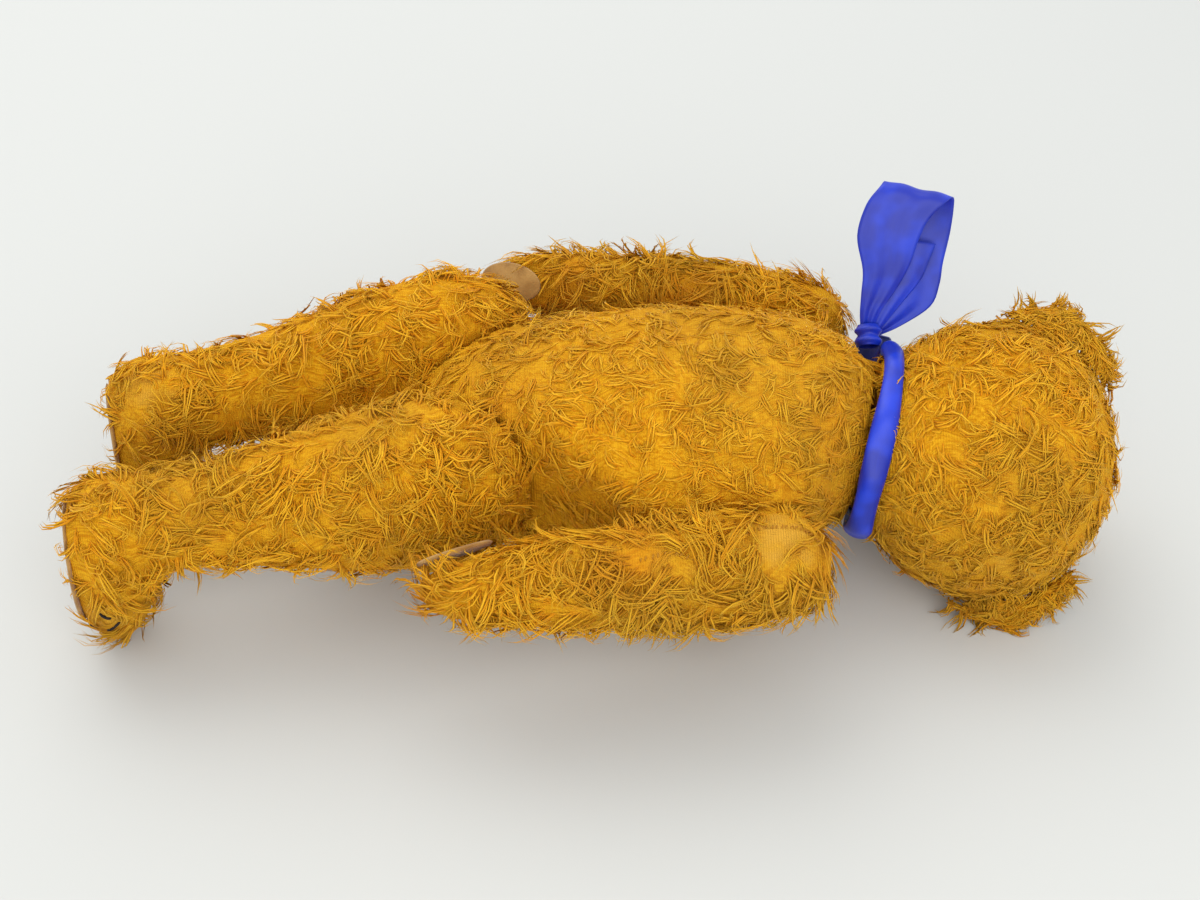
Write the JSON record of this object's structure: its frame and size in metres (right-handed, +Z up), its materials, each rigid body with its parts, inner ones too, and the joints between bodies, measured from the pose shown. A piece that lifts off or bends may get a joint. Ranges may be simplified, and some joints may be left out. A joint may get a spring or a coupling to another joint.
{
  "type": "teddy bear",
  "caption": "Worn golden mohair teddy bear lying face down, with a head, arms and legs that turn on disc joints and a satin ribbon tied in a bow at the neck.",
  "frame": {"origin": "middle of the bear's footprint, on the surface that it lies on", "axes": "+X towards the crown of the head along the body, +Y towards the bear's left side, +Z up from the surface, through the back"},
  "size_m": [0.4816, 0.2426, 0.1618],
  "materials": {
    "mohair": "long curly golden mohair pile, rubbed bald in places",
    "wood_wool": "packed wood wool",
    "fibreboard": "pressed brown fibreboard",
    "steel": "dull plated steel",
    "felt": "faded wool felt, moth-thinned",
    "eye_glass": "dark polished glass",
    "black_thread": "stitched black embroidery thread",
    "satin": "royal blue satin ribbon"
  },
  "bodies": {
    "torso": {"torso_cover": "mohair", "torso_stuffing": "wood_wool", "neck_body_disc": "fibreboard", "neck_body_washer": "steel", "neck_cotter_pin": "steel", "right_shoulder_body_disc": "fibreboard", "right_shoulder_body_washer": "steel", "right_shoulder_cotter_pin": "steel", "left_shoulder_body_disc": "fibreboard", "left_shoulder_body_washer": "steel", "left_shoulder_cotter_pin": "steel", "right_hip_body_disc": "fibreboard", "right_hip_body_washer": "steel", "right_hip_cotter_pin": "steel", "left_hip_body_disc": "fibreboard", "left_hip_body_washer": "steel", "left_hip_cotter_pin": "steel"},
    "head": {"head_cover": "mohair", "head_stuffing": "wood_wool", "right_ear": "mohair", "left_ear": "mohair", "right_glass_eye": "eye_glass", "left_glass_eye": "eye_glass", "stitched_nose": "black_thread", "neck_limb_disc": "fibreboard", "neck_limb_washer": "steel", "neck_ribbon": "satin"},
    "right_arm": {"right_arm_cover": "mohair", "right_arm_stuffing": "wood_wool", "right_paw_pad": "felt", "right_shoulder_limb_disc": "fibreboard", "right_shoulder_limb_washer": "steel"},
    "right_leg": {"right_leg_cover": "mohair", "right_leg_stuffing": "wood_wool", "right_sole_pad": "felt", "right_hip_limb_disc": "fibreboard", "right_hip_limb_washer": "steel"},
    "left_arm": {"left_arm_cover": "mohair", "left_arm_stuffing": "wood_wool", "left_paw_pad": "felt", "left_shoulder_limb_disc": "fibreboard", "left_shoulder_limb_washer": "steel"},
    "left_leg": {"left_leg_cover": "mohair", "left_leg_stuffing": "wood_wool", "left_sole_pad": "felt", "left_hip_limb_disc": "fibreboard", "left_hip_limb_washer": "steel"}
  },
  "joints": [
    {"name": "neck", "type": "hinge", "parent": "torso", "child": "head", "pos_m": [0.12324, -0.00691, 0.068], "axis": [0.9832, -0.163, -0.0815], "range_deg": [-105, 105]},
    {"name": "right_shoulder", "type": "hinge", "parent": "torso", "child": "right_arm", "pos_m": [0.07524, -0.06791, 0.073], "axis": [0.0698, -0.9976, 0], "range_deg": [-135, 120]},
    {"name": "left_shoulder", "type": "hinge", "parent": "torso", "child": "left_arm", "pos_m": [0.08724, 0.05309, 0.071], "axis": [-0.2164, -0.9763, 0], "range_deg": [-90, 105]},
    {"name": "right_hip", "type": "hinge", "parent": "torso", "child": "right_leg", "pos_m": [-0.05496, -0.02275, 0.069], "axis": [-0.5592, -0.829, 0], "range_deg": [-60, 85]},
    {"name": "left_hip", "type": "hinge", "parent": "torso", "child": "left_leg", "pos_m": [-0.05496, 0.03093, 0.069], "axis": [0.5592, -0.829, 0], "range_deg": [-60, 85]}
  ]
}
